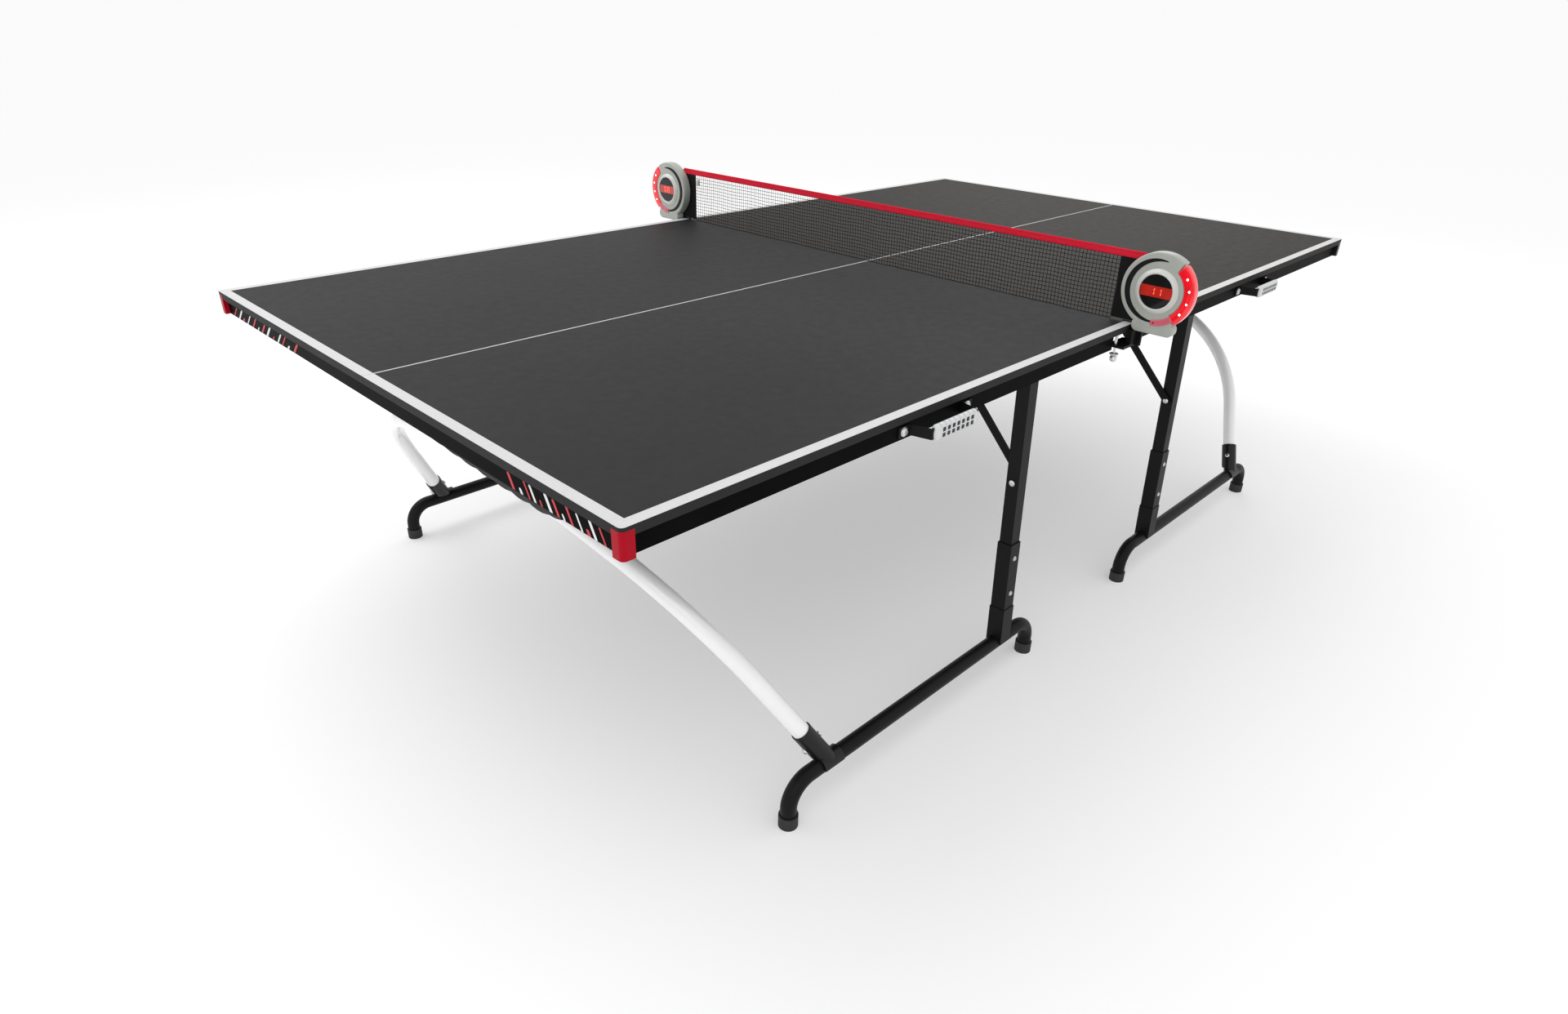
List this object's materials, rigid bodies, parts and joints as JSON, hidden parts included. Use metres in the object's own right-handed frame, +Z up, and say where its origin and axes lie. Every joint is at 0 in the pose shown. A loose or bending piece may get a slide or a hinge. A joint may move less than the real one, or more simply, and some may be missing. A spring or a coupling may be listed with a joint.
{
  "type": "ping pong table",
  "caption": "Folding table tennis table with a dark panel top, black aprons, folding legs with foot bars, white bridging arches, and a net between round lit score posts.",
  "frame": {"origin": "centre of the table on the floor", "axes": "+X along the table towards its far end, +Y across it towards the left side, +Z up"},
  "size_m": [2.743, 1.781, 0.926],
  "materials": {
    "panel": "matt charcoal painted board",
    "apron": "satin black powder coat",
    "cap_red": "crimson moulded plastic",
    "cap_black": "black moulded plastic",
    "frame": "satin black powder coat",
    "bracket": "satin black powder coat",
    "fastener": "zinc plated",
    "arch": "gloss white powder coat",
    "socket": "black moulded nylon",
    "rubber": "black rubber",
    "grip": "silver grey moulded grip",
    "fabric": "black nylon mesh",
    "net": "black knotless netting",
    "tape": "red cotton tape",
    "housing": "silver grey moulded plastic",
    "bezel": "bright silver moulded plastic",
    "display": "smoked black display window",
    "lens": "red translucent light strip"
  },
  "bodies": {
    "tabletop": {"top_panel_near_left": "panel", "top_panel_near_right": "panel", "top_panel_far_left": "panel", "top_panel_far_right": "panel", "side_rail_near_left": "apron", "side_rail_near_right": "apron", "side_rail_far_left": "apron", "side_rail_far_right": "apron", "end_apron_near": "apron", "end_apron_far": "apron", "centre_rails": "frame", "cross_rails": "frame", "corner_caps_near": "cap_red", "corner_caps_far": "cap_black", "leg_brackets": "bracket", "leg_pins": "fastener", "brace_tracks": "bracket", "arch_hangers": "bracket", "handle_straps": "bracket", "handle_grips": "grip", "handle_bolts": "fastener", "storage_pouch": "fabric", "net_mesh": "net", "net_tape": "tape", "net_sleeves": "fabric", "net_clamps": "bracket", "scorer_housings": "housing", "scorer_bezels": "bezel", "scorer_displays": "display", "scorer_lenses": "lens"},
    "leg_near_left": {"leg_tube_near_left": "frame", "foot_frame_near_left": "frame", "foot_pads_near_left": "rubber", "leg_bolts_near_left": "fastener"},
    "brace_near_left": {"brace_near_left": "bracket"},
    "leg_near_right": {"leg_tube_near_right": "frame", "foot_frame_near_right": "frame", "foot_pads_near_right": "rubber", "leg_bolts_near_right": "fastener"},
    "brace_near_right": {"brace_near_right": "bracket"},
    "leg_far_left": {"leg_tube_far_left": "frame", "foot_frame_far_left": "frame", "foot_pads_far_left": "rubber", "leg_bolts_far_left": "fastener"},
    "brace_far_left": {"brace_far_left": "bracket"},
    "leg_far_right": {"leg_tube_far_right": "frame", "foot_frame_far_right": "frame", "foot_pads_far_right": "rubber", "leg_bolts_far_right": "fastener"},
    "brace_far_right": {"brace_far_right": "bracket"},
    "arch_near": {"arch_tube_near": "arch", "arch_sockets_near": "socket", "socket_bolts_near": "fastener"},
    "arch_far": {"arch_tube_far": "arch", "arch_sockets_far": "socket", "socket_bolts_far": "fastener"},
    "clamp_screw_left": {"clamp_screw_left": "fastener"},
    "clamp_screw_right": {"clamp_screw_right": "fastener"}
  },
  "joints": [
    {"name": "leg_fold_near_left", "type": "hinge", "parent": "tabletop", "child": "leg_near_left", "pos_m": [-0.358, 0.73, 0.722], "axis": [-1, 0, 0], "range_deg": [0, 88]},
    {"name": "brace_fold_near_left", "type": "hinge", "parent": "leg_near_left", "child": "brace_near_left", "pos_m": [-0.3377, 0.73746, 0.48712], "axis": [-1, 0, 0], "range_deg": [-130, 0]},
    {"name": "leg_fold_near_right", "type": "hinge", "parent": "tabletop", "child": "leg_near_right", "pos_m": [-0.358, -0.73, 0.722], "axis": [1, 0, 0], "range_deg": [0, 88]},
    {"name": "brace_fold_near_right", "type": "hinge", "parent": "leg_near_right", "child": "brace_near_right", "pos_m": [-0.3377, -0.73746, 0.48712], "axis": [1, 0, 0], "range_deg": [-130, 0]},
    {"name": "leg_fold_far_left", "type": "hinge", "parent": "tabletop", "child": "leg_far_left", "pos_m": [0.358, 0.73, 0.722], "axis": [-1, 0, 0], "range_deg": [0, 88]},
    {"name": "brace_fold_far_left", "type": "hinge", "parent": "leg_far_left", "child": "brace_far_left", "pos_m": [0.3377, 0.73746, 0.48712], "axis": [-1, 0, 0], "range_deg": [-130, 0]},
    {"name": "leg_fold_far_right", "type": "hinge", "parent": "tabletop", "child": "leg_far_right", "pos_m": [0.358, -0.73, 0.722], "axis": [1, 0, 0], "range_deg": [0, 88]},
    {"name": "brace_fold_far_right", "type": "hinge", "parent": "leg_far_right", "child": "brace_far_right", "pos_m": [0.3377, -0.73746, 0.48712], "axis": [1, 0, 0], "range_deg": [-130, 0]},
    {"name": "arch_fold_near", "type": "hinge", "parent": "tabletop", "child": "arch_near", "pos_m": [-1.21218, 0, 0.60106], "axis": [0, -1, 0], "range_deg": [0, 61]},
    {"name": "arch_fold_far", "type": "hinge", "parent": "tabletop", "child": "arch_far", "pos_m": [1.21218, 0, 0.60106], "axis": [0, 1, 0], "range_deg": [0, 61]},
    {"name": "clamp_slide_left", "type": "slide", "parent": "tabletop", "child": "clamp_screw_left", "axis": [0, 0, -1], "range_m": [0, 0.012]},
    {"name": "clamp_slide_right", "type": "slide", "parent": "tabletop", "child": "clamp_screw_right", "axis": [0, 0, -1], "range_m": [0, 0.012]}
  ],
  "couplings": [
    {"joint": "brace_fold_near_left", "follows": "leg_fold_near_left", "ratio": -1.4714},
    {"joint": "brace_fold_near_right", "follows": "leg_fold_near_right", "ratio": -1.4714},
    {"joint": "brace_fold_far_left", "follows": "leg_fold_far_left", "ratio": -1.4714},
    {"joint": "brace_fold_far_right", "follows": "leg_fold_far_right", "ratio": -1.4714}
  ]
}
